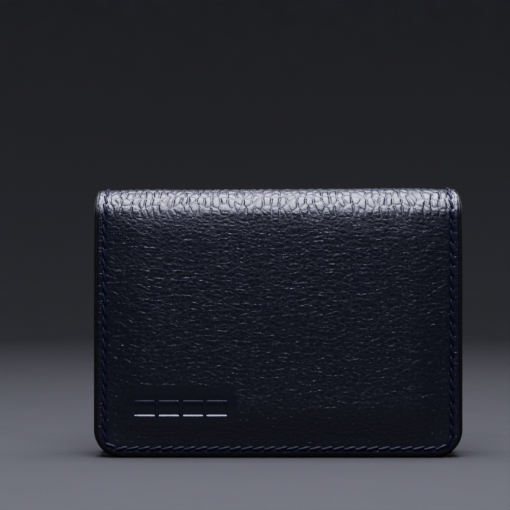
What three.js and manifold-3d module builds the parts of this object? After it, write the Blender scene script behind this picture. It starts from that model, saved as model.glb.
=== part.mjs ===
// A bifold card holder in pebbled leather, closed and standing on its open edges with the fold on top.
// Units are millimetres. +X runs along the fold, +Y points from the front cover to the back cover and +Z
// points up. The origin lies under the middle of the closed holder, on the surface it stands on.
//
// Each half is a flat stack of layers. A layer's depth is counted inwards from the outer face of its cover.
// Both halves are the same stack, and the front one is turned half a turn about Z. The one-piece cover and
// its lining are cut into strips across the fold, so that the fold can bend between them.

import * as THREE from "three";
import { mergeVertices } from "three/addons/utils/BufferGeometryUtils.js";
import Module from "manifold-3d";

// Driving dimensions of the closed holder.
const WIDTH = 105;
const HEIGHT = 76.5;
const THICKNESS = 15;
const CORNER_RADIUS = 8;

// Sheet materials.
const COVER = 1.2;
const BOARD = 0.4;
const LINING = 0.2;
const PANEL = 0.5;
const POCKET = 0.5;
const GLUE = 0.05; // between pieces that are bonded or sewn face to face
const SLIP_GAP = 0.2; // the flat pocket behind the inner panel
const CARD_GAP = 0.8; // room for one card, which is 0.76 thick

// The fold.
const STRIPS = 3;
const FOLD_RADIUS = THICKNESS / 2;
const FOLD_CENTRE = HEIGHT - FOLD_RADIUS;
const STRIP_ANGLE = Math.PI / (STRIPS + 1);
const STRIP_GAP = 0.3;

// Painted edges, seams and the mark.
const EDGE = 0.7;
const EDGE_SETBACK = 0.2; // of the painted edge from the cover's outer face
const INSET = EDGE + GLUE; // of every layer from the outline
const SEAM_SIDE = 3.1;
const SEAM_BOTTOM = 2.7;
const SEAM_CORNER = 3.5;
const GROOVE_WIDTH = 0.9;
const GROOVE_DEPTH = 0.35;
const THREAD_WIDTH = 0.5;
const THREAD = 0.25;
const MARK = { x: -27.6, z: 14.9, blocks: 4, pitch: 6.8, width: 6, depth: 0.3 };
const MARK_BARS = [
  { from: -2.8, to: 0.7 },
  { from: 1.4, to: 2.8 },
];

// The inner pieces end at these heights, the pockets at their mouths.
const PANEL_TOP = 66;
const BOARD_MARGIN = 6;
const BOARD_TOP = 62;
const MOUTHS = { high: 60, mid: 51, low: 42 };

const ARC_STEPS = 8;

const wasm = await Module();
wasm.setup();

// Depths of a half's layers, from the outer face inwards.
function stackLayers() {
  const layers = {};
  let depth = 0;
  const add = (name, thickness, gap) => {
    layers[name] = { from: depth + gap, to: depth + gap + thickness };
    depth += gap + thickness;
  };
  add("cover", COVER, 0);
  add("board", BOARD, GLUE);
  add("lining", LINING, GLUE);
  add("panel", PANEL, SLIP_GAP);
  add("high", POCKET, CARD_GAP);
  add("mid", POCKET, CARD_GAP);
  add("low", POCKET, CARD_GAP);
  return layers;
}

const LAYERS = stackLayers();

// A three.js geometry as a manifold-3d solid, and back.
function solidOf(geometry) {
  geometry.deleteAttribute("normal");
  geometry.deleteAttribute("uv");
  const merged = mergeVertices(geometry, 1e-4);
  return new wasm.Manifold(
    new wasm.Mesh({
      numProp: 3,
      vertProperties: merged.attributes.position.array,
      triVerts: new Uint32Array(merged.index.array),
    }),
  );
}

function geometryOf(solid) {
  const mesh = solid.getMesh();
  const geometry = new THREE.BufferGeometry();
  geometry.setAttribute("position", new THREE.BufferAttribute(new Float32Array(mesh.vertProperties), 3));
  geometry.setIndex(new THREE.BufferAttribute(new Uint32Array(mesh.triVerts), 1));
  geometry.computeVertexNormals();
  return geometry;
}

// Extrudes an outline drawn in X and Z through a half's depths.
function slab(outline, from, to) {
  const geometry = new THREE.ExtrudeGeometry(outline, {
    depth: to - from,
    bevelEnabled: false,
    curveSegments: ARC_STEPS,
  });
  geometry.rotateX(Math.PI / 2);
  geometry.translate(0, FOLD_RADIUS - from, 0);
  return solidOf(geometry);
}

// Extrudes a profile drawn in Y and Z along X, between two places.
function bar(profile, fromX, toX) {
  const geometry = new THREE.ExtrudeGeometry(profile, {
    depth: toX - fromX,
    bevelEnabled: false,
    curveSegments: ARC_STEPS,
  });
  const turn = new THREE.Matrix4().makeBasis(
    new THREE.Vector3(0, 1, 0),
    new THREE.Vector3(0, 0, 1),
    new THREE.Vector3(1, 0, 0),
  );
  geometry.applyMatrix4(turn);
  geometry.translate(fromX, 0, 0);
  return solidOf(geometry);
}

// The outline of a layer: square at the top, round at both bottom corners.
function panelOutline(top) {
  const half = WIDTH / 2 - INSET;
  const radius = CORNER_RADIUS - INSET;
  const outline = new THREE.Shape();
  outline.moveTo(-half, top);
  outline.lineTo(-half, INSET + radius);
  outline.absarc(-half + radius, INSET + radius, radius, Math.PI, 1.5 * Math.PI, false);
  outline.absarc(half - radius, INSET + radius, radius, 1.5 * Math.PI, 2 * Math.PI, false);
  outline.lineTo(half, top);
  return outline;
}

// A U-shaped band along both sides and the bottom, centred on a rounded path.
function uBand({ half, bottom, radius, band, top }) {
  const outline = new THREE.Shape();
  const centreZ = bottom + radius;
  const centreX = half - radius;
  const outer = radius + band / 2;
  const inner = radius - band / 2;
  outline.moveTo(-half - band / 2, top);
  outline.lineTo(-half - band / 2, centreZ);
  outline.absarc(-centreX, centreZ, outer, Math.PI, 1.5 * Math.PI, false);
  outline.absarc(centreX, centreZ, outer, 1.5 * Math.PI, 2 * Math.PI, false);
  outline.lineTo(half + band / 2, top);
  outline.lineTo(half - band / 2, top);
  outline.absarc(centreX, centreZ, inner, 2 * Math.PI, 1.5 * Math.PI, true);
  outline.absarc(-centreX, centreZ, inner, 1.5 * Math.PI, Math.PI, true);
  outline.lineTo(-half + band / 2, top);
  return outline;
}

const seamPath = (band, top) => ({
  half: WIDTH / 2 - SEAM_SIDE,
  bottom: SEAM_BOTTOM,
  radius: SEAM_CORNER,
  band,
  top,
});

const edgePath = (top) => ({
  half: WIDTH / 2 - EDGE / 2,
  bottom: EDGE / 2,
  radius: CORNER_RADIUS - EDGE / 2,
  band: EDGE,
  top,
});

// A sector of the fold between two depths and two angles, which count from the back half over the top.
function foldSector(from, to, start, end) {
  const profile = new THREE.Shape();
  profile.absarc(0, FOLD_CENTRE, FOLD_RADIUS - from, start, end, false);
  profile.absarc(0, FOLD_CENTRE, FOLD_RADIUS - to, end, start, true);
  return profile;
}

// A half's own share of the fold ends half a strip angle up, where the first strip begins.
const HALF_GAP_ANGLE = STRIP_GAP / 2 / FOLD_RADIUS;
const HALF_END = STRIP_ANGLE / 2 - HALF_GAP_ANGLE;

// A layer that runs straight up and on into the fold.
function upIntoFold(from, to, start) {
  const profile = new THREE.Shape();
  profile.moveTo(FOLD_RADIUS - from, start);
  profile.lineTo(FOLD_RADIUS - from, FOLD_CENTRE);
  profile.absarc(0, FOLD_CENTRE, FOLD_RADIUS - from, 0, HALF_END, false);
  profile.absarc(0, FOLD_CENTRE, FOLD_RADIUS - to, HALF_END, 0, true);
  profile.lineTo(FOLD_RADIUS - to, start);
  return profile;
}

// A full-width layer with its part of the fold.
function foldedLayer({ from, to }) {
  const half = WIDTH / 2 - INSET;
  const sheet = bar(upIntoFold(from, to, 0), -half, half);
  return sheet.intersect(slab(panelOutline(HEIGHT), -1, FOLD_RADIUS));
}

// A U-shaped band with its part of the fold on both sides.
function foldedBand(path, from, to) {
  const flat = slab(uBand({ ...path, top: FOLD_CENTRE }), from, to);
  const side = (x) =>
    bar(upIntoFold(from, to, FOLD_CENTRE - CORNER_RADIUS), x - path.band / 2, x + path.band / 2);
  return flat.add(side(-path.half)).add(side(path.half));
}

// A row of plain blocks, each a low and a high bar, pressed into the front cover near its lower left corner.
function markCutter() {
  const cutters = [];
  for (let block = 0; block < MARK.blocks; block += 1) {
    const x = -MARK.x + (block - (MARK.blocks - 1) / 2) * MARK.pitch;
    for (const { from, to } of MARK_BARS) {
      const outline = new THREE.Shape();
      outline.moveTo(x - MARK.width / 2, MARK.z + from);
      outline.lineTo(x + MARK.width / 2, MARK.z + from);
      outline.lineTo(x + MARK.width / 2, MARK.z + to);
      outline.lineTo(x - MARK.width / 2, MARK.z + to);
      cutters.push(slab(outline, -1, MARK.depth));
    }
  }
  return cutters.reduce((all, cutter) => all.add(cutter));
}

function coverHalf(marked) {
  const groove = foldedBand(seamPath(GROOVE_WIDTH, FOLD_CENTRE), -1, GROOVE_DEPTH);
  const leather = foldedLayer(LAYERS.cover).subtract(groove);
  return marked ? leather.subtract(markCutter()) : leather;
}

function boardSheet() {
  const half = WIDTH / 2 - BOARD_MARGIN;
  const outline = new THREE.Shape();
  outline.moveTo(-half, BOARD_MARGIN);
  outline.lineTo(half, BOARD_MARGIN);
  outline.lineTo(half, BOARD_TOP);
  outline.lineTo(-half, BOARD_TOP);
  return slab(outline, LAYERS.board.from, LAYERS.board.to);
}

// The top thread, sunk in the cover's groove.
function outerSeam() {
  return foldedBand(seamPath(THREAD_WIDTH, FOLD_CENTRE), GLUE, GLUE + THREAD);
}

// The bobbin thread, which steps down from layer to layer at each pocket's mouth.
function innerSeam() {
  const steps = [
    { surface: LAYERS.low.to, top: MOUTHS.low },
    { surface: LAYERS.mid.to, top: MOUTHS.mid },
    { surface: LAYERS.high.to, top: MOUTHS.high },
    { surface: LAYERS.panel.to, top: PANEL_TOP - SEAM_SIDE },
  ];
  const half = WIDTH / 2 - SEAM_SIDE;
  const path = seamPath(THREAD_WIDTH, steps[0].top + THREAD_WIDTH);
  let thread = slab(uBand(path), steps[0].surface + GLUE, steps[0].surface + GLUE + THREAD);
  for (let i = 1; i < steps.length; i += 1) {
    const below = steps[i - 1];
    const start = below.top + 2 * GLUE;
    const run = new THREE.Shape();
    const low = FOLD_RADIUS - steps[i].surface - GLUE;
    const high = FOLD_RADIUS - below.surface - GLUE - THREAD;
    run.moveTo(low, start);
    run.lineTo(low, steps[i].top + THREAD_WIDTH);
    run.lineTo(low - THREAD, steps[i].top + THREAD_WIDTH);
    run.lineTo(low - THREAD, below.top + THREAD_WIDTH);
    run.lineTo(high, below.top + THREAD_WIDTH);
    run.lineTo(high, start);
    for (const x of [-half, half]) {
      thread = thread.add(bar(run, x - THREAD_WIDTH / 2, x + THREAD_WIDTH / 2));
    }
  }
  return thread;
}

// The painted edge round a half, as deep at each height as the layers that reach it.
function edgeBand() {
  const reach = [
    { depth: LAYERS.panel.to, top: PANEL_TOP },
    { depth: LAYERS.high.to, top: MOUTHS.high },
    { depth: LAYERS.mid.to, top: MOUTHS.mid },
    { depth: LAYERS.low.to, top: MOUTHS.low },
  ];
  const base = foldedBand(edgePath(FOLD_CENTRE), EDGE_SETBACK, LAYERS.lining.to);
  const steps = reach.map(({ depth, top }) => slab(uBand(edgePath(top)), EDGE_SETBACK, depth));
  return steps.reduce((edge, step) => edge.add(step), base);
}

// Materials.
const finish = (color, roughness) => new THREE.MeshStandardMaterial({ color, roughness, metalness: 0 });
const MATERIALS = {
  coverLeather: finish(0x10131f, 0.42),
  innerLeather: finish(0x11141f, 0.5),
  lining: finish(0x15171d, 0.85),
  board: finish(0x8a7c66, 0.9),
  thread: finish(0x1a2147, 0.6),
  edge: finish(0x0b0b0c, 0.35),
};

function node(name, solid, material) {
  const mesh = new THREE.Mesh(geometryOf(solid), material);
  mesh.name = name;
  return mesh;
}

function makeHalf(side) {
  const half = new THREE.Group();
  const sheet = (layer, top) => slab(panelOutline(top), LAYERS[layer].from, LAYERS[layer].to);
  half.add(
    node(`cover_${side}`, coverHalf(side === "front"), MATERIALS.coverLeather),
    node(`board_${side}`, boardSheet(), MATERIALS.board),
    node(`lining_${side}`, foldedLayer(LAYERS.lining), MATERIALS.lining),
    node(`inner_panel_${side}`, sheet("panel", PANEL_TOP), MATERIALS.innerLeather),
    node(`seam_outer_${side}`, outerSeam(), MATERIALS.thread),
    node(`seam_inner_${side}`, innerSeam(), MATERIALS.thread),
    node(`edge_${side}`, edgeBand(), MATERIALS.edge),
  );
  for (const [place, mouth] of Object.entries(MOUTHS)) {
    half.add(node(`pocket_${place}_${side}`, sheet(place, mouth), MATERIALS.innerLeather));
  }
  return half;
}

// One strip of the fold: cover, lining, and the thread and painted edge on both sides.
function makeStrip(number) {
  const strip = new THREE.Group();
  const start = STRIP_ANGLE * (number - 0.5) + HALF_GAP_ANGLE;
  const end = STRIP_ANGLE * (number + 0.5) - HALF_GAP_ANGLE;
  const half = WIDTH / 2 - INSET;
  const seam = WIDTH / 2 - SEAM_SIDE;
  const piece = (from, to, fromX, toX) => bar(foldSector(from, to, start, end), fromX, toX);
  const grooves = [-seam, seam]
    .map((x) => piece(-1, GROOVE_DEPTH, x - GROOVE_WIDTH / 2, x + GROOVE_WIDTH / 2))
    .reduce((all, groove) => all.add(groove));
  const leather = piece(LAYERS.cover.from, LAYERS.cover.to, -half, half).subtract(grooves);
  const lining = piece(LAYERS.lining.from, LAYERS.lining.to, -half, half);
  strip.add(
    node(`cover_fold_${number}`, leather, MATERIALS.coverLeather),
    node(`lining_fold_${number}`, lining, MATERIALS.lining),
  );
  for (const [side, sign] of [["left", -1], ["right", 1]]) {
    const seamX = sign * seam;
    const edgeX = sign * (WIDTH / 2 - EDGE / 2);
    const thread = piece(GLUE, GLUE + THREAD, seamX - THREAD_WIDTH / 2, seamX + THREAD_WIDTH / 2);
    const edge = piece(EDGE_SETBACK, LAYERS.lining.to, edgeX - EDGE / 2, edgeX + EDGE / 2);
    strip.add(
      node(`seam_fold_${number}_${side}`, thread, MATERIALS.thread),
      node(`edge_fold_${number}_${side}`, edge, MATERIALS.edge),
    );
  }
  return strip;
}

const holder = new THREE.Group();
holder.add(makeHalf("back"));
for (let number = 1; number <= STRIPS; number += 1) {
  holder.add(makeStrip(number));
}
const front = makeHalf("front");
front.rotation.z = Math.PI;
holder.add(front);

export default holder;
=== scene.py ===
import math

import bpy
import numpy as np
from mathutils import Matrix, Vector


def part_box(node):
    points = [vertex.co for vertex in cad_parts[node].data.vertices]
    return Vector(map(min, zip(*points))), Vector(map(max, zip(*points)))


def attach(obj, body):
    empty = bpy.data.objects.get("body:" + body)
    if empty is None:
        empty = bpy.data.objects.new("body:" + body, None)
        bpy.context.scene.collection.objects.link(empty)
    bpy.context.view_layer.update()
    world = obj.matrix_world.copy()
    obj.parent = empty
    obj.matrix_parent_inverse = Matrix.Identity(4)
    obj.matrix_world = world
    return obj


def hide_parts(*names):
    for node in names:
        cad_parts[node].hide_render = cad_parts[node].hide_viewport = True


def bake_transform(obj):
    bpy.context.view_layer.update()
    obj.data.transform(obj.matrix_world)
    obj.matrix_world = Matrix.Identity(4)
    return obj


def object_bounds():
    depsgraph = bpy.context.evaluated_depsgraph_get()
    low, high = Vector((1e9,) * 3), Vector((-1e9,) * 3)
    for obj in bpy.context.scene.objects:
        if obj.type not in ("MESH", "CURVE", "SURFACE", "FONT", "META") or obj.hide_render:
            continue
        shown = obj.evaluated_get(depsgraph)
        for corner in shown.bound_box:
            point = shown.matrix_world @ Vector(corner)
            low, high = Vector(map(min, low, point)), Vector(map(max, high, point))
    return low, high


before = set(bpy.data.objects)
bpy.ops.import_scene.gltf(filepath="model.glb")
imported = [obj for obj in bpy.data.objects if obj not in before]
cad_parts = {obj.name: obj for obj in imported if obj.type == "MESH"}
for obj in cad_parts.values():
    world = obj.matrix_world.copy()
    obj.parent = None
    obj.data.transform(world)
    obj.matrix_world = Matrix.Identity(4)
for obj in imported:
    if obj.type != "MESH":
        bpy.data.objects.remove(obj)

# A bifold card holder in pebbled navy leather, closed and standing on its open edges with the fold on top.
#
# Every sheet of the holder is laid out flat first. A point has x, across the holder, and s, the way from
# the back cover's bottom edge up over the fold and down to the front cover's bottom edge, both in metres.
# A third number, out, is its height above the cover's outer face. on_cover() bends these round the fold.
#
# What crosses the fold is cut into four pieces, one for each hinge. They meet where nothing bends.

MM = 0.001
CAD_LOW, CAD_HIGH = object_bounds()

# The closed holder, from the frame.
HALF_WIDTH = CAD_HIGH.x
HEIGHT = CAD_HIGH.z
RADIUS = CAD_HIGH.y
FOLD_Z = HEIGHT - RADIUS
FOLD_LENGTH = math.pi * RADIUS
LENGTH = 2 * FOLD_Z + FOLD_LENGTH
MIDDLE = LENGTH / 2
CORNER = 8 * MM

# Distances between the points of the meshes.
GRID = 0.3 * MM
COARSE = 0.8 * MM
POCKET_GRID = 0.5 * MM
POCKET_BAND_GRID = 0.2 * MM
POCKET_LIP_GRID = 0.06 * MM
PAINT_GRID = 0.45 * MM
PAINT_FOLD_GRID = 0.3 * MM
PAINT_SECTION_STEP = 0.3 * MM

# The cover's leather, its seam and its painted edge. A setback is counted from the holder's outline.
COVER_DEPTH = 1.15 * MM
SEAM_SIDE = 3.1 * MM
SEAM_BOTTOM = 2.7 * MM
SEAM_CORNER = 3.5 * MM
PITCH = 3.25 * MM
THREAD_RADIUS = 0.46 * MM
HOLE_RADIUS = 0.45 * MM
LEATHER_SETBACK = 1.0 * MM
PAINT_WIDTH = 1.25 * MM
SHEET_SETBACK = 0.7 * MM

# The holder is a little narrower at the fold.
WAIST = 0.4 * MM
WAIST_SPAN = 9 * MM

# How deep the leather's creases are on a face, and how much deeper on the fold.
CREASE_DEPTH = 0.10 * MM
FOLD_CREASE_EXTRA = 0.2 * MM

# The soft shape of the cover. The padding rises from the rim, and is full at its reach from the outline.
RIM = 2.2 * MM
PADDING_REACH = 15 * MM
PADDING_MIN = 0.4 * MM
PADDING_RANGE = 1.15 * MM
HOLLOW_DEPTH = 0.68 * MM
GROOVE_DEPTH = 0.12 * MM
GROOVE_WIDTH = 0.85 * MM

# The pressed mark: plain blocks in a row, each a low and a high bar.
MARK_X = -27.6 * MM
MARK_Z = 14.9 * MM
MARK_BLOCKS = 4
MARK_PITCH = 6.8 * MM
MARK_WIDTH = 6 * MM
MARK_BARS = ((-2.8 * MM, 0.7 * MM), (1.4 * MM, 2.8 * MM))
MARK_DEPTH = 0.4 * MM
HIGH_BAR_SHARE = 0.4
SURROUND_DEPTH = 0.16 * MM


# ---------------------------------------------------------------- small maths


def smooth(low, high, value):
    t = np.clip((value - low) / (high - low), 0, 1)
    return t * t * (3 - 2 * t)


def bell(distance, width):
    return np.exp(-((distance / width) ** 2))


def value_noise(u, v, seed):
    """Smooth noise from 0 to 1, one bump to a unit."""
    table = np.random.default_rng(seed).random((256, 256))
    i, j = np.floor(u).astype(int), np.floor(v).astype(int)
    fu, fv = smooth(0, 1, u - i), smooth(0, 1, v - j)
    at = lambda a, b: table[a % 256, b % 256]
    low = at(i, j) * (1 - fu) + at(i + 1, j) * fu
    high = at(i, j + 1) * (1 - fu) + at(i + 1, j + 1) * fu
    return low * (1 - fv) + high * fv


def cells(u, v, seed):
    """For a net of irregular cells, one to a unit: the gap to the net, how far its line there runs along u,
    and a number from 0 to 1 of the cell's own."""
    table = np.random.default_rng(seed).random((256, 256, 3))
    i, j = np.floor(u).astype(int), np.floor(v).astype(int)
    first, second = np.full(u.shape, 9.0), np.full(u.shape, 9.0)
    near_u, near_v, far_u, far_v = (np.zeros(u.shape) for _ in range(4))
    own = np.zeros(u.shape)
    for di in (-1, 0, 1):
        for dj in (-1, 0, 1):
            spot = table[(i + di) % 256, (j + dj) % 256]
            pu = i + di + 0.12 + 0.76 * spot[..., 0]
            pv = j + dj + 0.12 + 0.76 * spot[..., 1]
            d = np.hypot(u - pu, v - pv)
            nearest = d < first
            next_one = (d < second) & ~nearest
            far_u = np.where(nearest, near_u, np.where(next_one, pu, far_u))
            far_v = np.where(nearest, near_v, np.where(next_one, pv, far_v))
            second = np.where(nearest, first, np.where(next_one, d, second))
            near_u, near_v = np.where(nearest, pu, near_u), np.where(nearest, pv, near_v)
            own = np.where(nearest, spot[..., 2], own)
            first = np.where(nearest, d, first)
    along_u = np.abs(near_v - far_v) / (np.hypot(near_u - far_u, near_v - far_v) + 1e-6)
    return second - first, along_u, own


def rounded_inset(x, s, half, bottom, corner):
    """How far a point lies inside an outline with round bottom corners, on either half of the holder."""
    s = np.minimum(s, LENGTH - s)
    across = half - np.abs(x)
    up = s - bottom
    in_corner = (across < corner) & (up < corner)
    return np.where(in_corner, corner - np.hypot(corner - across, corner - up), np.minimum(across, up))


def on_cover(x, s, out):
    """Points of the holder from the flat layout."""
    angle = np.clip((s - FOLD_Z) / RADIUS, 0, math.pi)
    z = FOLD_Z + RADIUS * np.sin(angle) + np.minimum(s - FOLD_Z, 0) + np.minimum(LENGTH - FOLD_Z - s, 0)
    y = RADIUS * np.cos(angle)
    x = x * (1 - WAIST / HALF_WIDTH * bell(s - MIDDLE, WAIST_SPAN))
    return np.stack([x, y + out * np.cos(angle), z + out * np.sin(angle)], -1)


# ---------------------------------------------------------------- seams


def seam_holes():
    """The outer seam's holes in the flat layout, as (x, s), in order all the way round."""
    half = HALF_WIDTH - SEAM_SIDE
    side = LENGTH / 2 - SEAM_BOTTOM - SEAM_CORNER
    bend = math.pi / 2 * SEAM_CORNER
    bottom = 2 * (half - SEAM_CORNER)
    total = 2 * (2 * side + 2 * bend + bottom)
    count = round(total / PITCH)
    holes = []
    for k in range(count):
        holes.append(seam_point((k + 0.5) * total / count, half, side, bend, bottom))
    return np.array(holes)


def seam_point(way, half, side, bend, bottom):
    """(x, s) at a distance along the seam, from the left end of the fold's middle, down the back first."""
    lap = 2 * side + 2 * bend + bottom
    front = way >= lap
    way = way - lap if front else way
    if way < side:
        x, s = -half, MIDDLE - way
    elif way < side + bend:
        turn = (way - side) / SEAM_CORNER
        x = -half + SEAM_CORNER * (1 - math.cos(turn))
        s = SEAM_BOTTOM + SEAM_CORNER * (1 - math.sin(turn))
    elif way < side + bend + bottom:
        x, s = -half + SEAM_CORNER + way - side - bend, SEAM_BOTTOM
    elif way < side + 2 * bend + bottom:
        turn = (way - side - bend - bottom) / SEAM_CORNER
        x = half - SEAM_CORNER * (1 - math.sin(turn))
        s = SEAM_BOTTOM + SEAM_CORNER * (1 - math.cos(turn))
    else:
        x, s = half, SEAM_BOTTOM + SEAM_CORNER + way - (side + 2 * bend + bottom)
    return (-x, LENGTH - s) if front else (x, s)


HOLES = seam_holes()


def near_holes(x, s):
    """How much each point belongs to a stitch hole, from 0 to 1."""
    share = np.zeros(x.shape)
    for hole_x, hole_s in HOLES:
        close = (np.abs(x - hole_x) < 3 * HOLE_RADIUS) & (np.abs(s - hole_s) < 3 * HOLE_RADIUS)
        share[close] += bell(np.hypot(x[close] - hole_x, s[close] - hole_s), HOLE_RADIUS)
    return share


def from_seam(x, s):
    """How far a point lies from the seam's line."""
    return np.abs(rounded_inset(x, s, HALF_WIDTH - SEAM_SIDE, SEAM_BOTTOM, SEAM_CORNER))


# ---------------------------------------------------------------- the cover's surface


def fold_share(s):
    """1 on the fold, 0 on the flat covers."""
    return 1 - smooth(0.7 * FOLD_LENGTH / 2, 1.4 * FOLD_LENGTH / 2, np.abs(s - MIDDLE))


def lowness(s, start):
    """0 at the fold and down to a share of the way from it to the bottom, rising to 1 near the bottom."""
    return smooth(start * MIDDLE, 0.95 * MIDDLE, np.abs(s - MIDDLE))


def grain(x, s):
    """The leather's creases, from 0 on a cell to 1 in a deep crease, and a number of each cell's own."""
    warp_x = (value_noise(x / (4.5 * MM), s / (4.5 * MM), 1) - 0.5) * 1.6 * MM
    warp_s = (value_noise(x / (5.0 * MM), s / (3.5 * MM), 2) - 0.5) * 1.5 * MM

    # Small pebbles all over.
    gap, level, own = cells((x + warp_x) / (1.6 * MM), (s + warp_s) / (1.25 * MM), 3)
    face = 0.5 * (0.6 * bell(gap, 0.22) + 0.4 * bell(gap, 0.45)) * (0.6 + 0.4 * level)

    # Long wrinkles across the holder, in patches on the upper face.
    gap, level, _ = cells((x + 1.6 * warp_x) / (6.0 * MM), (s + 1.5 * warp_s) / (2.3 * MM), 4)
    patch = 0.3 + 0.7 * smooth(0.3, 0.7, value_noise(x / (15 * MM), s / (9 * MM), 5))
    wrinkle = 0.55 * bell(gap, 0.12) * level**2 * patch * (1 - lowness(s, 0.45))
    face = np.maximum(face, wrinkle)

    # Larger, softer pebbles on the fold.
    gap, level, _ = cells((x + 0.5 * warp_x) / (2.1 * MM), (s + warp_s) / (2.9 * MM), 13)
    bent = (0.5 * bell(gap, 0.18) + 0.5 * bell(gap, 0.42)) * (1 - 0.6 * level)
    fold = fold_share(s)
    return np.maximum(face * np.sqrt(1 - fold), bent * fold), own


def mark_press(x, s):
    """How far the mark is pressed in, from 0 to 1. Only the front cover has it."""
    first = MARK_X - (MARK_BLOCKS - 1) / 2 * MARK_PITCH
    block = np.clip(np.round((x - first) / MARK_PITCH), 0, MARK_BLOCKS - 1)
    across = MARK_WIDTH / 2 - np.abs(x - first - block * MARK_PITCH)
    z = LENGTH - s - MARK_Z
    presses = []
    for (low, high), share in zip(MARK_BARS, (1, HIGH_BAR_SHARE)):
        inside = np.minimum(across, np.minimum(0.65 * (z - low), high - z))
        presses.append(share * smooth(-0.1 * MM, 0.28 * MM, inside))
    return np.maximum(*presses) * (s > MIDDLE)


def mark_surround(x, s):
    """The smooth area that the heated die leaves round the mark."""
    across = np.abs(x - MARK_X) - (MARK_BLOCKS * MARK_PITCH) / 2
    up = np.abs(LENGTH - s - MARK_Z) - MARK_BARS[1][1]
    beyond = np.hypot(np.maximum(across, 0), np.maximum(up, 0))
    return (1 - smooth(0.3 * MM, 3.2 * MM, beyond)) * (s > MIDDLE)


def grain_strength(x, s):
    """Depth of the creases: more on the fold and the low faces, less by the seams and round the mark."""
    inset = rounded_inset(x, s, HALF_WIDTH, 0, CORNER)
    lively = 1 + 0.35 * fold_share(s) + 0.4 * lowness(s, 0.5)
    pressed = 1 - 0.9 * mark_surround(x, s)
    return lively * pressed * (0.5 + 0.5 * smooth(RIM, 6.5 * MM, inset))


def padding(x, s):
    """Height of the padded faces, which thicken towards the bottom, and a share that is 0 by the outline."""
    below_fold = np.clip((np.abs(s - MIDDLE) / MIDDLE - 0.12) / 0.8, 0, 1)
    from_side = HALF_WIDTH - np.abs(x)
    from_bottom = np.minimum(s, LENGTH - s)
    inner = smooth(RIM, PADDING_REACH, from_side) * smooth(RIM, PADDING_REACH, from_bottom)
    return (PADDING_MIN + PADDING_RANGE * (0.15 + 0.85 * below_fold)) * inner, inner


def cover_form(x, s):
    """Height of the leather's smooth shape above the plain outer face, with the seam's groove, no grain."""
    inset = rounded_inset(x, s, HALF_WIDTH, 0, CORNER)
    down = np.abs(s - MIDDLE)
    faces, inner = padding(x, s)
    sag = -0.3 * MM * bell(down, 5.5 * MM) * (1 - (x / HALF_WIDTH) ** 2)
    rise = 0.25 * MM * (1 + x / HALF_WIDTH) * bell(down, 8 * MM)
    hollow = -HOLLOW_DEPTH * bell(down - 6 * MM, 6.3 * MM) * (0.3 + 0.7 * inner)
    waves = value_noise(x / (5 * MM), s / (4 * MM), 15) - 0.5
    billow = 0.16 * MM * waves * bell(down - 10 * MM, 7 * MM) * inner
    swell = value_noise(x / (24 * MM), s / (19 * MM), 6) - 0.5
    uneven = 0.22 * MM * swell * smooth(1 * MM, 8 * MM, inset)
    edge = -0.27 * MM * (1 - smooth(0.6 * MM, 1.6 * MM, inset)) * (1 - 0.3 * fold_share(s))
    groove = -GROOVE_DEPTH * bell(from_seam(x, s), GROOVE_WIDTH)
    return faces + sag + rise + hollow + billow + uneven + edge + groove


def cover_out(x, s):
    """Height of the finished leather above the plain outer face."""
    crease, own = grain(x, s)
    strength = grain_strength(x, s)
    depth = CREASE_DEPTH + FOLD_CREASE_EXTRA * fold_share(s)
    grained = cover_form(x, s) - depth * strength * crease + 0.01 * MM * strength * (own - 0.5)
    close = from_seam(x, s) < 1.6 * MM
    pits = np.zeros(x.shape)
    pits[close] = near_holes(x[close], s[close])
    mark = SURROUND_DEPTH * mark_surround(x, s) + MARK_DEPTH * mark_press(x, s)
    return grained - 0.09 * MM * pits - mark


# ---------------------------------------------------------------- the inner sheets' surfaces


INNER_SHEETS = ("inner_panel", "pocket_high", "pocket_mid", "pocket_low")


def depth_of(node):
    """How deep under the cover's outer face a flat CAD node starts and ends."""
    low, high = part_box(node)
    return (RADIUS - high.y, RADIUS - low.y) if "back" in node else (RADIUS + low.y, RADIUS + high.y)


def top_of(node):
    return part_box(node)[1].z


LINING_THICKNESS = 0.2 * MM
SLIP_GAP = 0.2 * MM
LINING_FACE = depth_of("inner_panel_back")[0] - SLIP_GAP


def sheet_relief(x, s, top):
    """Height of a pocket's leather above its CAD face: pebbles, a creased line under the mouth, a rounded
    lip, the seam's groove and a rounded outline."""
    inset = rounded_inset(x, s, HALF_WIDTH, 0, CORNER)
    gap, _, _ = cells(x / (1.3 * MM), s / (1.2 * MM), 7)
    pebbles = -0.03 * MM * bell(gap, 0.3)
    uneven = 0.06 * MM * (value_noise(x / (17 * MM), s / (12 * MM), 8) - 0.5)
    below = top - np.minimum(s, LENGTH - s)
    creased_line = -0.09 * MM * bell(below - 1.9 * MM, 0.22 * MM)
    lip = -0.2 * MM * (1 - smooth(0, 0.5 * MM, below))
    groove = -0.1 * MM * bell(from_seam(x, s), 0.55 * MM)
    outline = -0.1 * MM * (1 - smooth(0, 1.2 * MM, inset - SHEET_SETBACK))
    return pebbles + uneven + creased_line + lip + groove + outline


def lining_relief(x, s):
    """The lining lies smooth on the covers and gathers in soft creases along the inside of the fold."""
    broad = value_noise(x / (16 * MM), s / (1.5 * MM), 9)
    narrow = value_noise(x / (9 * MM), s / (0.9 * MM), 10)
    return 0.09 * MM * (broad + 0.5 * narrow - 0.75) * fold_share(s)


# ---------------------------------------------------------------- building meshes


def steps(low, high, size):
    """Evenly spaced values from low to high, about a size apart."""
    return np.linspace(low, high, max(1, round((high - low) / size)) + 1)


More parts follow.
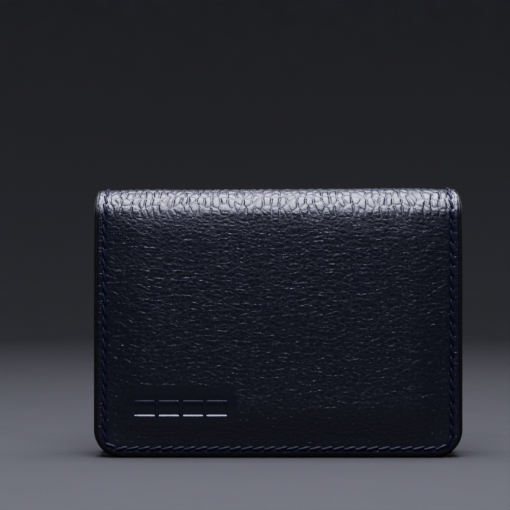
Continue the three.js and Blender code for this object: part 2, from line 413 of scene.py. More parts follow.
def edge_insets(setback, size):
    """Distances from a sheet's edge to the middle of its round corners, closer together by the edge."""
    by_the_edge = np.array([0, 0.05, 0.13, 0.25, 0.4, 0.6]) * MM
    return np.concatenate([by_the_edge, steps(0.85 * MM, CORNER - setback, size)])


def grid_faces(index):
    """The four-sided faces of a grid of vertex numbers."""
    return np.stack([index[:-1, :-1], index[1:, :-1], index[1:, 1:], index[:-1, 1:]], -1).reshape(-1, 4)


def straight_grid(half, rows, insets, size):
    """A flat grid with straight sides: its points, faces and four edges."""
    between = steps(insets[-1] - half, half - insets[-1], size)
    columns = np.concatenate([insets[:-1] - half, between, (half - insets[:-1])[::-1]])
    body = np.arange(len(rows) * len(columns)).reshape(len(rows), len(columns))
    x, s = (a.ravel() for a in np.meshgrid(columns, rows))
    return {
        "x": x, "s": s, "faces": [grid_faces(body)],
        "left": body[::-1, 0], "right": body[::-1, -1], "low": body[0], "high": body[-1],
    }


def rounded_grid(setback, rows, size):
    """A flat grid of the back half with round bottom corners, its edges set back from the holder's outline.
    It is a straight body down to the corners, a straight foot between them and a fan for each corner."""
    half, corner, insets = HALF_WIDTH - setback, CORNER - setback, edge_insets(setback, size)
    grid = straight_grid(half, rows, insets, size)
    x, s = grid["x"], grid["s"]
    body = np.arange(len(x)).reshape(len(rows), -1)
    n = len(insets) - 1
    foot_x, foot_s = (a.ravel() for a in np.meshgrid(x[body[0, n:-n]], insets[:-1] + setback))
    foot = np.vstack([np.arange(len(foot_x)).reshape(n, -1) + len(x), body[0, n:-n]])
    x = np.concatenate([x, foot_x])
    s = np.concatenate([s, foot_s])
    quads, tips, rails = grid["faces"] + [grid_faces(foot)], [], []
    turns = steps(0, math.pi / 2, size / corner)
    for side, end in ((-1, 0), (1, -1)):
        ray = body[0, ::-side][: n + 1]
        fan = np.zeros((len(turns), n + 1), int)
        fan[0] = ray
        fan[-1] = foot[:, end]
        fan[:, n] = ray[n]
        turn, inset = (a.ravel() for a in np.meshgrid(turns[1:-1], insets[:-1], indexing="ij"))
        fan[1:-1, :n] = np.arange(len(turn)).reshape(-1, n) + len(x)
        x = np.concatenate([x, side * (half - corner + (corner - inset) * np.cos(turn))])
        s = np.concatenate([s, CORNER - (corner - inset) * np.sin(turn)])
        quads.append(grid_faces(fan[:, :n])[:, ::side])
        tips.append(np.stack([fan[:-1, n - 1], fan[1:, n - 1], fan[1:, n]], 1)[:, ::side])
        rails.append(np.concatenate([body[::-1, end], fan[1:, 0]]))
    return {
        "x": x, "s": s, "faces": [np.vstack(quads), np.vstack(tips)],
        "left": rails[0], "right": rails[1], "low": foot[0], "high": body[-1],
    }


def on_front(grid):
    """The back half's grid, laid out on the front half."""
    return {**grid, "s": LENGTH - grid["s"]}


def is_inside_out(points, faces):
    """Whether the faces of a closed shape turn inwards, by the sign of its volume."""
    volume = 0.0
    for block in faces:
        for k in range(1, block.shape[1] - 1):
            a, b, c = points[block[:, 0]], points[block[:, k]], points[block[:, k + 1]]
            volume += np.einsum("ij,ij->", a, np.cross(b, c))
    return volume < 0


def join_blend(piece):
    """Bakes a piece's transform into its mesh, and ties it to no body."""
    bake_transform(piece)


def make_piece(name, points, faces, flat, normals, material, bodies, slot, nodes, layers=None):
    """A mesh piece from blocks of equal-sided faces. flat holds each point's place in the layout, for the
    material. A face with a corner whose normal is zero is a plain wall, and shades flat. bodies is the name
    of the body that the piece rides on, or the pair that it lies between; such a piece rides on no body."""
    if is_inside_out(points, faces):
        faces = [block[:, ::-1] for block in faces]
    mesh = bpy.data.meshes.new(name)
    sides = np.concatenate([np.full(len(block), block.shape[1]) for block in faces])
    loops = np.concatenate([block.ravel() for block in faces])
    mesh.vertices.add(len(points))
    mesh.vertices.foreach_set("co", points.astype(np.float32).ravel())
    mesh.loops.add(len(loops))
    mesh.loops.foreach_set("vertex_index", loops.astype(np.int32))
    mesh.polygons.add(len(sides))
    mesh.polygons.foreach_set("loop_start", np.concatenate([[0], np.cumsum(sides)[:-1]]).astype(np.int32))
    mesh.update(calc_edges=True)
    mesh.polygons.foreach_set("use_smooth", np.ones(len(sides), bool))
    mesh.uv_layers.new(name="flat").data.foreach_set("uv", (flat[loops] * 100).astype(np.float32).ravel())
    for layer, values in (layers or {}).items():
        mesh.attributes.new(layer, "FLOAT", "POINT").data.foreach_set("value", values.astype(np.float32))
    own = np.zeros(len(sides) * 3, np.float32)
    mesh.polygons.foreach_get("normal", own)
    face_of_loop = np.repeat(np.arange(len(sides)), sides)
    wall = np.zeros(len(sides), bool)
    wall[face_of_loop[np.linalg.norm(normals[loops], axis=1) < 0.5]] = True
    at_loop = np.where(wall[face_of_loop][:, None], own.reshape(-1, 3)[face_of_loop], normals[loops])
    mesh.normals_split_custom_set(at_loop.tolist())
    mesh.materials.append(material)
    piece = bpy.data.objects.new(name, mesh)
    bpy.context.scene.collection.objects.link(piece)
    if isinstance(bodies, str):
        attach(piece, bodies)
    else:
        join_blend(piece)
    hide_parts(*nodes)


def make_sheet(name, grid, out, back_out, outward, *details, layers=None):
    """A closed sheet: its finished face, a plain back of strips from side to side, and the walls between.
    out gives the finished face's height above the cover's plain face, and back_out is the back's height."""
    x, s, left, right = grid["x"], grid["s"], grid["left"], grid["right"]
    surface = lambda u, v: on_cover(u, v, out(u, v))
    reach = 0.14 * MM
    along_s = surface(x, s + reach) - surface(x, s - reach)
    along_x = surface(x + reach, s) - surface(x - reach, s)
    normals = np.cross(along_s, along_x)
    normals *= outward / (np.linalg.norm(normals, axis=1)[:, None] + 1e-15)
    n, k = len(x), len(left)
    rear_x, rear_s = np.concatenate([x[left], x[right]]), np.concatenate([s[left], s[right]])
    points = np.vstack([surface(x, s), on_cover(rear_x, rear_s, np.full(2 * k, back_out))])
    a, b = np.arange(n, n + k), np.arange(n + k, n + 2 * k)
    faces = grid["faces"] + [
        np.stack([left[:-1], left[1:], a[1:], a[:-1]], 1),
        np.stack([right[1:], right[:-1], b[:-1], b[1:]], 1),
        np.stack([a[:-1], a[1:], b[1:], b[:-1]], 1),
        np.concatenate([grid["high"][::-1], [a[0], b[0]]])[None],
        np.concatenate([grid["low"], [b[-1], a[-1]]])[None],
    ]
    flat = np.stack([np.concatenate([x, rear_x]), np.concatenate([s, rear_s])], 1)
    normals = np.vstack([normals, np.zeros((2 * k, 3))])
    layers = {key: np.concatenate([value, np.zeros(2 * k)]) for key, value in (layers or {}).items()}
    make_piece(name, points, faces, flat, normals, *details, layers=layers)


# ---------------------------------------------------------------- the four zones of what crosses the fold

# Each pair of neighbouring bodies has a hinge, and HINGE_TURNS says how far round the fold it lies. The
# straight way between two hinges is as long as the fold's surface there.
BODIES = ("back_half", "fold_1", "fold_2", "fold_3", "front_half")
HINGE_STEP = math.pi / (len(BODIES) - 1)
HINGE_TURNS = {pair: (k + 0.5) * HINGE_STEP for k, pair in enumerate(zip(BODIES, BODIES[1:]))}

# Where the zones meet along s, and the part of the CAD names that each zone's pieces stand for.
CUTS = [0] + [FOLD_Z + FOLD_LENGTH * share for share in (0.25, 0.5, 0.75)] + [LENGTH]
ZONE_NODES = {
    "back": ("back",),
    "bend_back": ("fold_1",),
    "bend_front": ("fold_2",),
    "front": ("front", "fold_3"),
}
ZONES = [
    {"name": name, "bodies": bodies, "low": low, "high": high}
    for name, bodies, low, high in zip(ZONE_NODES, HINGE_TURNS, CUTS, CUTS[1:])
]


def zone_grid(zone, setback, size):
    if zone["name"] in ("back", "front"):
        grid = rounded_grid(setback, steps(CORNER, CUTS[1], size), size)
        return grid if zone["name"] == "back" else on_front(grid)
    rows = steps(zone["low"], zone["high"], size)
    return straight_grid(HALF_WIDTH - setback, rows, edge_insets(setback, size), size)


def zone_nodes(zone, kind):
    """The CAD nodes of one kind that a zone's piece stands for."""
    names = []
    for part in ZONE_NODES[zone["name"]]:
        on_fold = "fold" in part
        ends = ("_left", "_right") if on_fold and kind in ("seam", "edge") else ("",)
        base = "seam_outer" if kind == "seam" and not on_fold else kind
        names += [f"{base}_{part}{end}" for end in ends]
    return names


# ---------------------------------------------------------------- materials


def add_node(tree, kind, values=None, **settings):
    """A shader node. values maps its inputs, by name or number, to plain values or other nodes' outputs."""
    node = tree.nodes.new("ShaderNode" + kind)
    for key, value in settings.items():
        setattr(node, key, value)
    for key, value in (values or {}).items():
        if isinstance(value, bpy.types.NodeSocket):
            tree.links.new(value, node.inputs[key])
        else:
            node.inputs[key].default_value = value
    return node


def new_material(name):
    """A material, its node tree and its shader."""
    material = bpy.data.materials.new(name)
    material.use_nodes = True
    tree = material.node_tree
    return material, tree, tree.nodes["Principled BSDF"]


def vectors(tree, operation, first, second):
    return add_node(tree, "VectorMath", {0: first, 1: second}, operation=operation).outputs["Vector"]


def maths(tree, operation, first, second):
    return add_node(tree, "Math", {0: first, 1: second}, operation=operation).outputs["Value"]


def layout(tree, stretch=(1, 1)):
    """The flat layout's x and s in centimetres, times a stretch."""
    place = add_node(tree, "UVMap", uv_map="flat").outputs["UV"]
    return vectors(tree, "MULTIPLY", place, (*stretch, 1))


def object_place(tree):
    """The object's own coordinates, in metres."""
    return add_node(tree, "TexCoord").outputs["Object"]


def noise(tree, vector, scale, detail=4, roughness=0.55):
    values = {"Vector": vector, "Scale": scale, "Detail": detail, "Roughness": roughness}
    return add_node(tree, "TexNoise", values).outputs["Fac"]


def net(tree, vector, scale):
    """A net of irregular cells: 0 on its lines."""
    values = {"Vector": vector, "Scale": scale}
    return add_node(tree, "TexVoronoi", values, feature="DISTANCE_TO_EDGE").outputs["Distance"]


def weave_bands(tree, vector, direction):
    """Parallel threads of cloth, across one direction."""
    values = {"Vector": vector, "Scale": 8.5, "Distortion": 0.5}
    return add_node(tree, "TexWave", values, bands_direction=direction).outputs["Fac"]


def spread(tree, value, low, high, to_low=0.0, to_high=1.0, way="LINEAR"):
    """A value that goes from one number to another while the given value goes from low to high."""
    values = {"Value": value, "From Min": low, "From Max": high, "To Min": to_low, "To Max": to_high}
    return add_node(tree, "MapRange", values, interpolation_type=way).outputs["Result"]


def mix_colours(tree, share, first, second):
    node = add_node(tree, "Mix", data_type="RGBA")
    for key, value in ((0, share), (6, first), (7, second)):
        if isinstance(value, bpy.types.NodeSocket):
            tree.links.new(value, node.inputs[key])
        else:
            node.inputs[key].default_value = value if key == 0 else (*value, 1)
    return node.outputs[2]


def bump(tree, height, distance, strength=1.0, below=None):
    """The surface's normal with a relief on it, on top of the normal of another relief if one is given."""
    values = {"Height": height, "Distance": distance, "Strength": strength}
    if below is not None:
        values["Normal"] = below
    return add_node(tree, "Bump", values).outputs["Normal"]


def attribute(tree, name):
    return add_node(tree, "Attribute", attribute_name=name, attribute_type="GEOMETRY").outputs["Fac"]


def cover_leather():
    """Pebbled navy leather, with its finest creases as bumps and painted shade darkening its creases."""
    material, tree, shader = new_material("cover_leather")
    place = layout(tree)
    crease, pressed, fold = (attribute(tree, name) for name in ("crease", "pressed", "fold"))
    cloudy = noise(tree, place, 1.1, 3)
    mottled = noise(tree, place, 9, 4)
    pores = noise(tree, place, 70, 3, 0.6)

    leather_colour = mix_colours(tree, cloudy, (0.0014, 0.0015, 0.0038), (0.0022, 0.0023, 0.0057))
    leather_colour = mix_colours(tree, spread(tree, mottled, 0.35, 0.75, 0, 0.5), leather_colour, (0.0031, 0.0033, 0.0074))
    # Painted shade: the crease mask darkens the base colour in the creases, on top of the leather's own
    # uneven tone.
    leather_colour = mix_colours(tree, spread(tree, crease, 0, 1, 0, 0.7), leather_colour, (0.0008, 0.0009, 0.0027))
    tree.links.new(leather_colour, shader.inputs["Base Color"])
    rough = spread(tree, mottled, 0.3, 0.7, 0.20, 0.26)
    rough = maths(tree, "ADD", rough, spread(tree, crease, 0, 1, 0, 0.2))
    rough = maths(tree, "SUBTRACT", rough, spread(tree, pressed, 0, 1, 0, 0.04))
    rough = maths(tree, "ADD", rough, spread(tree, fold, 0, 1, 0, 0.05))
    tree.links.new(rough, shader.inputs["Roughness"])
    shader.inputs["Specular IOR Level"].default_value = 0.5

    # The nets of fine creases sway a little, run up and down on the fold and lie across the holder on the
    # faces.
    sway = add_node(tree, "TexNoise", {"Vector": place, "Scale": 4, "Detail": 2}).outputs["Color"]
    swayed = vectors(tree, "ADD", place, vectors(tree, "MULTIPLY", sway, (0.12, 0.12, 0)))
    tall = vectors(tree, "MULTIPLY", swayed, (1, 0.55, 1))
    wide = vectors(tree, "MULTIPLY", swayed, (1, 1.5, 1))
    fold_net = spread(tree, net(tree, tall, 5.6), 0, 0.32, way="SMOOTHSTEP")
    line_net = spread(tree, net(tree, wide, 3.6), 0, 0.05, way="SMOOTHSTEP")
    fine_net = spread(tree, net(tree, wide, 8), 0, 0.1, way="SMOOTHSTEP")
    finest_net = spread(tree, net(tree, wide, 17), 0, 0.16)

    # Their strengths: weak where the die pressed the leather and on the fold, and for the lines in patches.
    unpressed = spread(tree, pressed, 0, 1, 1.0, 0.2)
    on_face = maths(tree, "MULTIPLY", unpressed, spread(tree, fold, 0, 1, 1.0, 0.3))
    patchy = maths(tree, "MULTIPLY", on_face, spread(tree, mottled, 0.4, 0.65, 0.4, 1.0))
    normal = bump(tree, fold_net, 0.04 * MM, fold)
    normal = bump(tree, line_net, 0.031 * MM, patchy, normal)
    normal = bump(tree, fine_net, 0.009 * MM, on_face, normal)
    normal = bump(tree, finest_net, 0.004 * MM, unpressed, normal)
    normal = bump(tree, pores, 0.002 * MM, 1.0, normal)
    tree.links.new(normal, shader.inputs["Normal"])
    return material


def pocket_leather():
    """Thinner, paler leather with a small flat grain."""
    material, tree, shader = new_material("pocket_leather")
    place = layout(tree)
    cloudy = noise(tree, place, 1.4, 3)
    mottled = noise(tree, place, 12, 4)
    leather_colour = mix_colours(tree, cloudy, (0.0034, 0.0038, 0.0085), (0.0056, 0.0062, 0.0135))
    leather_colour = mix_colours(tree, spread(tree, mottled, 0.4, 0.75, 0, 0.5), leather_colour, (0.0078, 0.0084, 0.0165))
    tree.links.new(leather_colour, shader.inputs["Base Color"])
    tree.links.new(spread(tree, mottled, 0.3, 0.7, 0.36, 0.48), shader.inputs["Roughness"])
    fine = bump(tree, spread(tree, net(tree, place, 17), 0, 0.14), 0.018 * MM)
    tree.links.new(bump(tree, noise(tree, place, 75, 3), 0.010 * MM, 1.0, fine), shader.inputs["Normal"])
    return material


def lining_cloth():
    """Dark plain-woven cloth with uneven threads."""
    material, tree, shader = new_material("lining_cloth")
    place = layout(tree)
    weave = maths(tree, "MULTIPLY", weave_bands(tree, place, "X"), weave_bands(tree, place, "Y"))
    slub = noise(tree, layout(tree, (1, 6)), 5, 3)
    colour = mix_colours(tree, weave, (0.0050, 0.0055, 0.0090), (0.0150, 0.0160, 0.0240))
    colour = mix_colours(tree, spread(tree, slub, 0.45, 0.8, 0, 0.6), colour, (0.0210, 0.0225, 0.0330))
    tree.links.new(colour, shader.inputs["Base Color"])
    tree.links.new(spread(tree, slub, 0.3, 0.7, 0.75, 0.9), shader.inputs["Roughness"])
    tree.links.new(bump(tree, weave, 0.05 * MM), shader.inputs["Normal"])
    return material


def thread():
    """Polyester thread. Its layout runs round the thread and along it."""
    material, tree, shader = new_material("thread")
    fibres = noise(tree, layout(tree, (30, 5)), 4, 3)
    patches = noise(tree, layout(tree), 3, 2)
    colour = mix_colours(tree, fibres, (0.0005, 0.0006, 0.0050), (0.0012, 0.0014, 0.0105))
    colour = mix_colours(tree, spread(tree, patches, 0.4, 0.8, 0, 0.4), colour, (0.0024, 0.0028, 0.0170))
    tree.links.new(colour, shader.inputs["Base Color"])
    tree.links.new(spread(tree, fibres, 0.3, 0.7, 0.42, 0.58), shader.inputs["Roughness"])
    tree.links.new(bump(tree, fibres, 0.015 * MM), shader.inputs["Normal"])
    shader.inputs["Specular IOR Level"].default_value = 0.15
    return material


def edge_paint():
    """Black edge paint. Its layout runs across the edge and along it."""
    material, tree, shader = new_material("edge_paint")
    place = layout(tree)
    uneven = noise(tree, place, 6, 4)
    specks = noise(tree, place, 45, 2)
    colour = mix_colours(tree, uneven, (0.0008, 0.0008, 0.0008), (0.0022, 0.0022, 0.0021))
    tree.links.new(colour, shader.inputs["Base Color"])
    rough = spread(tree, uneven, 0.3, 0.7, 0.38, 0.52)
    rough = maths(tree, "ADD", rough, spread(tree, specks, 0.6, 0.8, 0, 0.12))
    tree.links.new(rough, shader.inputs["Roughness"])
    fine = bump(tree, uneven, 0.06 * MM)
    tree.links.new(bump(tree, specks, 0.008 * MM, 1.0, fine), shader.inputs["Normal"])
    shader.inputs["Specular IOR Level"].default_value = 0.15
    return material


def cardboard():
    material, tree, shader = new_material("cardboard")
    pulp = noise(tree, object_place(tree), 900, 5)
    colour = mix_colours(tree, pulp, (0.20, 0.17, 0.13), (0.38, 0.34, 0.27))
    tree.links.new(colour, shader.inputs["Base Color"])
    tree.links.new(spread(tree, pulp, 0.3, 0.7, 0.8, 0.95), shader.inputs["Roughness"])
    tree.links.new(bump(tree, pulp, 0.05 * MM), shader.inputs["Normal"])
    return material


def floor_paper():
    material, tree, shader = new_material("floor_paper")
    place = object_place(tree)
    colour = mix_colours(tree, noise(tree, place, 3, 3), (0.025, 0.025, 0.0235), (0.029, 0.029, 0.0275))
    tree.links.new(colour, shader.inputs["Base Color"])
    tree.links.new(spread(tree, noise(tree, place, 60, 4), 0.3, 0.7, 0.62, 0.75), shader.inputs["Roughness"])
    tree.links.new(bump(tree, noise(tree, place, 500, 3), 0.05 * MM), shader.inputs["Normal"])
    shader.inputs["Specular IOR Level"].default_value = 0.1
    return material


LEATHER = cover_leather()
POCKET = pocket_leather()
CLOTH = lining_cloth()
THREAD = thread()
PAINT = edge_paint()
BOARD = cardboard()

# ---------------------------------------------------------------- cover and lining


def build_cover(zone):
    grid = zone_grid(zone, LEATHER_SETBACK, GRID)
    x, s = grid["x"], grid["s"]
    strength = grain_strength(x, s)
    layers = {"crease": grain(x, s)[0] * strength, "pressed": mark_surround(x, s), "fold": fold_share(s)}
    details = (LEATHER, zone["bodies"], "cover_leather", zone_nodes(zone, "cover"))
    make_sheet("leather_" + zone["name"], grid, cover_out, -COVER_DEPTH, 1, *details, layers=layers)


def build_lining(zone):
    grid = zone_grid(zone, SHEET_SETBACK, COARSE)
    out = lambda x, s: -LINING_FACE - lining_relief(x, s)
    details = (CLOTH, zone["bodies"], "lining", zone_nodes(zone, "lining"))
    make_sheet("lining_cloth_" + zone["name"], grid, out, LINING_THICKNESS - LINING_FACE, -1, *details)


for zone in ZONES:
    build_cover(zone)
    build_lining(zone)

# ---------------------------------------------------------------- inner panels and pockets


def build_inner_sheet(side, kind):
    node = f"{kind}_{side}"
    top = top_of(node)
    near, far = depth_of(node)
    band, lip = top - 3 * MM, top - 0.6 * MM
    body_rows = steps(CORNER, band, COARSE)[:-1]
    band_rows = steps(band, lip, POCKET_BAND_GRID)[:-1]
    rows = np.concatenate([body_rows, band_rows, steps(lip, top, POCKET_LIP_GRID)])
    grid = rounded_grid(SHEET_SETBACK, rows, POCKET_GRID)
    grid = grid if side == "back" else on_front(grid)
    out = lambda x, s: -far - sheet_relief(x, s, top)
    make_sheet("leather_" + node, grid, out, -near, -1, POCKET, f"{side}_half", "pocket_leather", [node])


for side in ("back", "front"):
    for kind in INNER_SHEETS:
        build_inner_sheet(side, kind)

# ---------------------------------------------------------------- painted edges


def outline_point(way, inset):
    """(x, s) on the back half, at an inset, and at a distance along its outline from the right end of its
    own zone."""
    side = CUTS[1] - CORNER
    bend = math.pi / 2 * CORNER
    bottom = 2 * (HALF_WIDTH - CORNER)
    right_turn = np.clip((way - side) / CORNER, 0, math.pi / 2)
    left_turn = np.clip((way - side - bend - bottom) / CORNER, 0, math.pi / 2)
    r = CORNER - inset
    x = HALF_WIDTH - CORNER + r * np.cos(right_turn) - np.clip(way - side - bend, 0, bottom)
    s = CUTS[1] - np.minimum(way, side) - r * np.sin(right_turn)
    on_left = way > side + bend + bottom
    x = np.where(on_left, -(HALF_WIDTH - CORNER) - r * np.sin(left_turn), x)
    s = np.where(on_left, CORNER - r * np.cos(left_turn), s)
    return x, s + np.maximum(way - side - 2 * bend - bottom, 0)


STACK = [LINING_FACE] + [depth_of(f"{kind}_back")[1] for kind in INNER_SHEETS]
TOPS = [top_of(f"{kind}_back") for kind in INNER_SHEETS]


def stack_depth(s):
    """How deep the stack of sheets is at a distance from a half's bottom edge."""
    s = np.minimum(s, LENGTH - s)
    depth = np.full(np.shape(s), STACK[0])
    for more, less, top in zip(STACK[1:], STACK, TOPS):
        depth = depth + (more - less) * (1 - smooth(top - 0.5 * MM, top + 0.7 * MM, s))
    return depth


# The painted edge's section is gone round in this order: a bead beside the cover, as shares of the paint's
# width and heights in millimetres; the flat edge, with a line at the depth of each joint of the stack; and a
# bead at the back, as insets and rises in millimetres.
FRONT_BEAD = (
    (1.0, -0.7), (0.9, -0.42), (0.78, -0.37), (0.66, -0.31), (0.52, -0.3),
    (0.38, -0.33), (0.25, -0.41), (0.13, -0.53), (0.05, -0.68), (0.01, -0.84),
)
JOINTS = (1.25 * MM, 1.9 * MM, 2.6 * MM, 3.9 * MM, 5.2 * MM)
REAR_BEAD = ((0.04, 0.4), (0.12, 0.22), (0.26, 0.08), (0.45, 0.02), (0.66, 0.05), (0.85, 0.16), (0.95, 0.4))
EDGE_STEPS = 24


def paint_profile(depth):
    """The painted edge's section for each stack depth: insets and heights, round a closed line."""
    insets, heights = [], []
    for share, height in FRONT_BEAD:
        insets.append(np.full(depth.shape, share * PAINT_WIDTH))
        heights.append(np.full(depth.shape, height * MM))
    for k in range(EDGE_STEPS):
        height = -1.0 * MM - (depth - 1.5 * MM) * k / (EDGE_STEPS - 1)
        gap = np.min([np.abs(height + joint) for joint in JOINTS], axis=0)
        insets.append(0.01 * MM + 0.055 * MM * bell(gap, 0.16 * MM))
        heights.append(height)
    for inset, rise in REAR_BEAD:
        insets.append(np.full(depth.shape, inset * MM))
        heights.append(-depth + rise * MM)
    return np.array(insets), np.array(heights)


def paint_strip(place, way, s_middle):
    """One run of painted edge: its points, faces, layout and normals. place gives (x, s) from a way and an
    inset, and s_middle is s along the outline itself."""
    insets, heights = paint_profile(stack_depth(s_middle))
    ripple = 0.03 * MM * (value_noise(way / (3 * MM), heights / (2.2 * MM), 11) - 0.2)
    x, s = place(np.broadcast_to(way, insets.shape), insets + np.maximum(ripple, 0))
    points = on_cover(x, s, heights)
    along = np.gradient(points, axis=1)
    round_it = np.roll(points, -1, axis=0) - np.roll(points, 1, axis=0)
    normals = np.cross(along, round_it)
    normals /= np.linalg.norm(normals, axis=2)[..., None] + 1e-15
    outward = points - points.mean(axis=0)
    if np.einsum("ijk,ijk->", outward, normals) < 0:
        normals = -normals
    around, count = insets.shape
    index = np.arange(around * count).reshape(around, count)
    sides = grid_faces(np.vstack([index, index[:1]]))
    ends = [index[:, 0][None], index[::-1, -1][None]]
    flat = np.stack([np.repeat(np.arange(around), count) * PAINT_SECTION_STEP, np.tile(way, around)], 1)
    return points.reshape(-1, 3), [sides] + ends, flat, normals.reshape(-1, 3)


def join(strips):
    """Several runs as one set of points and faces. Each run is turned right side out first."""
    faces, offset = [], 0
    for points, blocks, _, _ in strips:
        flip = is_inside_out(points - points.mean(axis=0), blocks)
        faces += [(block[:, ::-1] if flip else block) + offset for block in blocks]
        offset += len(points)
    points, _, flats, normals = zip(*strips)
    return np.vstack(points), faces, np.vstack(flats), np.vstack(normals)


def on_front_outline(way, inset):
    x, s = outline_point(way, inset)
    return x, LENGTH - s


def half_paint(zone):
    """The run of paint down one side of a half, along its bottom and up the other side."""
    total = 2 * (CUTS[1] - CORNER) + math.pi * CORNER + 2 * (HALF_WIDTH - CORNER)
    way = steps(0, total, PAINT_GRID)
    place = outline_point if zone["name"] == "back" else on_front_outline
    return [paint_strip(place, way, place(way, np.zeros(way.shape))[1])]


def fold_paint(zone):
    """The two runs of paint at the ends of a strip of the fold."""
    way = steps(zone["low"], zone["high"], PAINT_FOLD_GRID)
    strips = []
    for side in (-1, 1):
        strips.append(paint_strip(lambda w, inset: (side * (HALF_WIDTH - inset), w), way, way))
    return strips


def build_edge(zone):
    strips = half_paint(zone) if zone["name"] in ("back", "front") else fold_paint(zone)
    nodes = zone_nodes(zone, "edge")
    make_piece("paint_" + zone["name"], *join(strips), PAINT, zone["bodies"], "edge_paint", nodes)


for zone in ZONES:
    build_edge(zone)

# ---------------------------------------------------------------- stitches

AROUND, ALONG = ((11, 15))
PLIES = 3
TWISTS = 1.6


def stitch(start, end, height, slant, seed):
    """One stitch between two holes of the layout: a twisted three-ply thread that arches over the leather
    and dives into both holes. height gives how high its middle line lies for (x, s, t), where t is the share
    of the way from the first hole to the second."""
    shares = np.linspace(-0.02, 1.02, ALONG)
    run = end - start
    across = np.array([-run[1], run[0]]) / np.hypot(*run)
    lean = slant * np.cos(math.pi * np.clip(shares, 0, 1))
    x = start[0] + run[0] * shares + across[0] * lean
    s = start[1] + run[1] * shares + across[1] * lean
    centre = on_cover(x, s, height(x, s, shares))
    along = np.gradient(centre, axis=0)
    along /= np.linalg.norm(along, axis=1)[:, None]
    up = on_cover(x, s, height(x, s, shares) + 1 * MM) - centre
    sideways = np.cross(along, up)
    sideways /= np.linalg.norm(sideways, axis=1)[:, None]
    up = np.cross(sideways, along)
    turn = np.linspace(0, 2 * math.pi, AROUND, endpoint=False)
    taper = 0.62 + 0.38 * smooth(0, 0.16, np.minimum(shares, 1 - shares) + 0.02)
    ply = 1 + 0.13 * np.cos(PLIES * turn[None, :] - 2 * math.pi * TWISTS * shares[:, None] + seed)
    radius = THREAD_RADIUS * taper[:, None] * ply
    spoke = np.cos(turn)[None, :, None] * sideways[:, None] + np.sin(turn)[None, :, None] * up[:, None]
    ring = radius[..., None] * spoke
    points = centre[:, None] + ring
    normals = ring / np.linalg.norm(ring, axis=2)[..., None]
    index = np.arange(ALONG * AROUND).reshape(ALONG, AROUND)
    sides = grid_faces(np.hstack([index, index[:, :1]]))
    ends = [index[0][None], index[-1][::-1][None]]
    way = np.hypot(*run) * shares
    flat = np.stack([np.tile(turn * THREAD_RADIUS, ALONG), np.repeat(way + seed * MM, AROUND)], 1)
    return points.reshape(-1, 3), [sides] + ends, flat, normals.reshape(-1, 3)


def arch(t):
    """A stitch's rise between its holes, from 0 to 1: steep at the holes and flat on top."""
    return np.sin(math.pi * np.clip(t, 0, 1)) ** 0.6


def cover_stitch_height(x, s, t):
    return cover_form(x, s) + (0.3 * arch(t) - 0.17) * MM


def inner_stitch_height(x, s, t):
    return -stack_depth(s) - (0.24 * arch(t) - 0.3) * MM


def hole_pairs():
    return [(HOLES[k], HOLES[(k + 1) % len(HOLES)]) for k in range(len(HOLES))]


def build_cover_stitches(zone):
    strips = []
    for k, (start, end) in enumerate(hole_pairs()):
        if zone["low"] <= (start[1] + end[1]) / 2 < zone["high"]:
            strips.append(stitch(start, end, cover_stitch_height, 0.3 * MM, k * 1.7))
    nodes = zone_nodes(zone, "seam")
    make_piece("stitches_" + zone["name"], *join(strips), THREAD, zone["bodies"], "thread", nodes)


def build_inner_stitches(side):
    strips = []
    for k, (start, end) in enumerate(hole_pairs()):
        middle = (start[1] + end[1]) / 2
        from_edge = middle if side == "back" else LENGTH - middle
        if from_edge < TOPS[0] - 1 * MM:
            strips.append(stitch(start, end, inner_stitch_height, 0.2 * MM, k * 2.3))
    nodes = [f"seam_inner_{side}"]
    make_piece(f"stitches_inner_{side}", *join(strips), THREAD, f"{side}_half", "thread", nodes)


for zone in ZONES:
    build_cover_stitches(zone)
for side in ("back", "front"):
    build_inner_stitches(side)

# ---------------------------------------------------------------- the boards keep their CAD shape

for side in ("back", "front"):
    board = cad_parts[f"board_{side}"]
    board.data.materials.clear()
    board.data.materials.append(BOARD)

# ---------------------------------------------------------------- floor, light and camera

# The floor, in metres: the radius of its flat part, of its bend up into the wall, and the wall's height.
FLOOR_REACH = 0.55
FLOOR_BEND = 0.35
WALL_TOP = 1.2

# The lights, in metres and watts. The panels lie on an arc round the fold and face it.
SKY = (0.77, 0.77, 1.0)
PANEL_DISTANCE = 0.42
PANEL_WIDTH = 0.32
SIDE_PLACE = (0.5, 0.24, 0.25)
SIDE_TARGET = (0, 0, 0.04)
SIDE_SIZE = (0.36, 0.26)
SIDE_POWER = 1.0
SIDE_COLOUR = (0.9, 0.93, 1.0)
WORLD_COLOUR = (0.90, 0.94, 1.0, 1)
WORLD_STRENGTH = 0.06

# The camera looks level at the front cover.
CAMERA_PLACE = (-6.6 * MM, -(RADIUS + 385 * MM), 57.7 * MM)
CAMERA_SENSOR = 36
CAMERA_LENS = 95.65


def build_floor():
    """A sheet of paper, flat round the holder, which curves up into a wall on all sides."""
    count = 96
    rise = np.linspace(0, math.pi / 2, 24)
    wall = FLOOR_REACH + FLOOR_BEND
    reach = np.concatenate([[0.05, 0.3], FLOOR_REACH + FLOOR_BEND * np.sin(rise), [wall]])
    z = np.concatenate([[0, 0], FLOOR_BEND - FLOOR_BEND * np.cos(rise), [WALL_TOP]])
    turn = np.linspace(0, 2 * math.pi, count, endpoint=False)
    points = [(r * math.cos(a), r * math.sin(a), h) for r, h in zip(reach, z) for a in turn]
    index = np.arange(len(points)).reshape(len(reach), count)
    faces = grid_faces(np.hstack([index, index[:, :1]])).tolist() + [index[0].tolist()]
    mesh = bpy.data.meshes.new("floor")
    mesh.from_pydata(points, [], faces)
    mesh.polygons.foreach_set("use_smooth", np.ones(len(faces), bool))
    mesh.materials.append(floor_paper())
    floor = bpy.data.objects.new("floor", mesh)
    bpy.context.scene.collection.objects.link(floor)


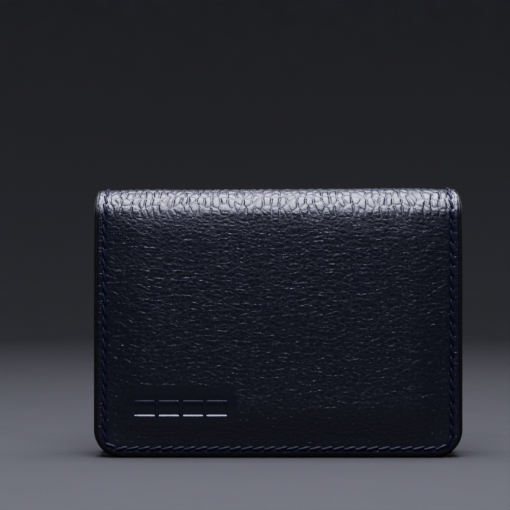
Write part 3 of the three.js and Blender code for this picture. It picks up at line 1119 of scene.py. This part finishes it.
def add_light(name, place, target, size, power, colour):
    data = bpy.data.lights.new(name, "AREA")
    data.shape = "RECTANGLE"
    data.size, data.size_y = size
    data.energy = power
    data.color = colour
    light = bpy.data.objects.new(name, data)
    light.location = place
    light.visible_camera = False
    aim = np.array(target) - np.array(place)
    tilt = math.atan2(math.hypot(aim[0], aim[1]), -aim[2])
    light.rotation_euler = (tilt, 0, math.atan2(aim[1], aim[0]) - math.pi / 2)
    bpy.context.scene.collection.objects.link(light)


def add_panel(name, elevation, spread_angle, radiance):
    """A lit panel that faces the fold. Angles are in degrees. Elevation counts up from the camera's side."""
    turn = math.radians(elevation)
    target = (0, 0, FOLD_Z)
    place = (0, -PANEL_DISTANCE * math.cos(turn), FOLD_Z + PANEL_DISTANCE * math.sin(turn))
    height = 2 * PANEL_DISTANCE * math.tan(math.radians(spread_angle / 2))
    power = radiance * math.pi * PANEL_WIDTH * height
    add_light(name, place, target, (PANEL_WIDTH, height), power, SKY)


def light_the_scene():
    """A softbox over the fold, which fades out to the front and behind, and a weak light on each side."""
    add_panel("softbox", 71, 32, 32.0)
    add_panel("softbox_top", 92, 12, 64.0)
    for elevation, radiance in ((51, 20.0), (44, 12.0), (38, 7.5), (31, 4.4), (23, 1.9), (15, 0.35)):
        add_panel("softbox_edge", elevation, 8, radiance)
    add_panel("behind_high", 110, 22, 5.0)
    add_panel("behind_low", 137, 30, 0.6)
    x, y, z = SIDE_PLACE
    for side in (-1, 1):
        add_light("side", (side * x, y, z), SIDE_TARGET, SIDE_SIZE, SIDE_POWER, SIDE_COLOUR)
    world = bpy.data.worlds.new("studio")
    world.use_nodes = True
    background = world.node_tree.nodes["Background"]
    background.inputs["Color"].default_value = WORLD_COLOUR
    background.inputs["Strength"].default_value = WORLD_STRENGTH
    bpy.context.scene.world = world


def add_camera():
    data = bpy.data.cameras.new("camera")
    data.sensor_width = CAMERA_SENSOR
    data.lens = CAMERA_LENS
    data.clip_start = 0.01
    data.clip_end = 20
    camera = bpy.data.objects.new("camera", data)
    camera.location = CAMERA_PLACE
    camera.rotation_euler = (math.radians(90), 0, 0)
    bpy.context.scene.collection.objects.link(camera)
    bpy.context.scene.camera = camera


build_floor()
light_the_scene()
add_camera()
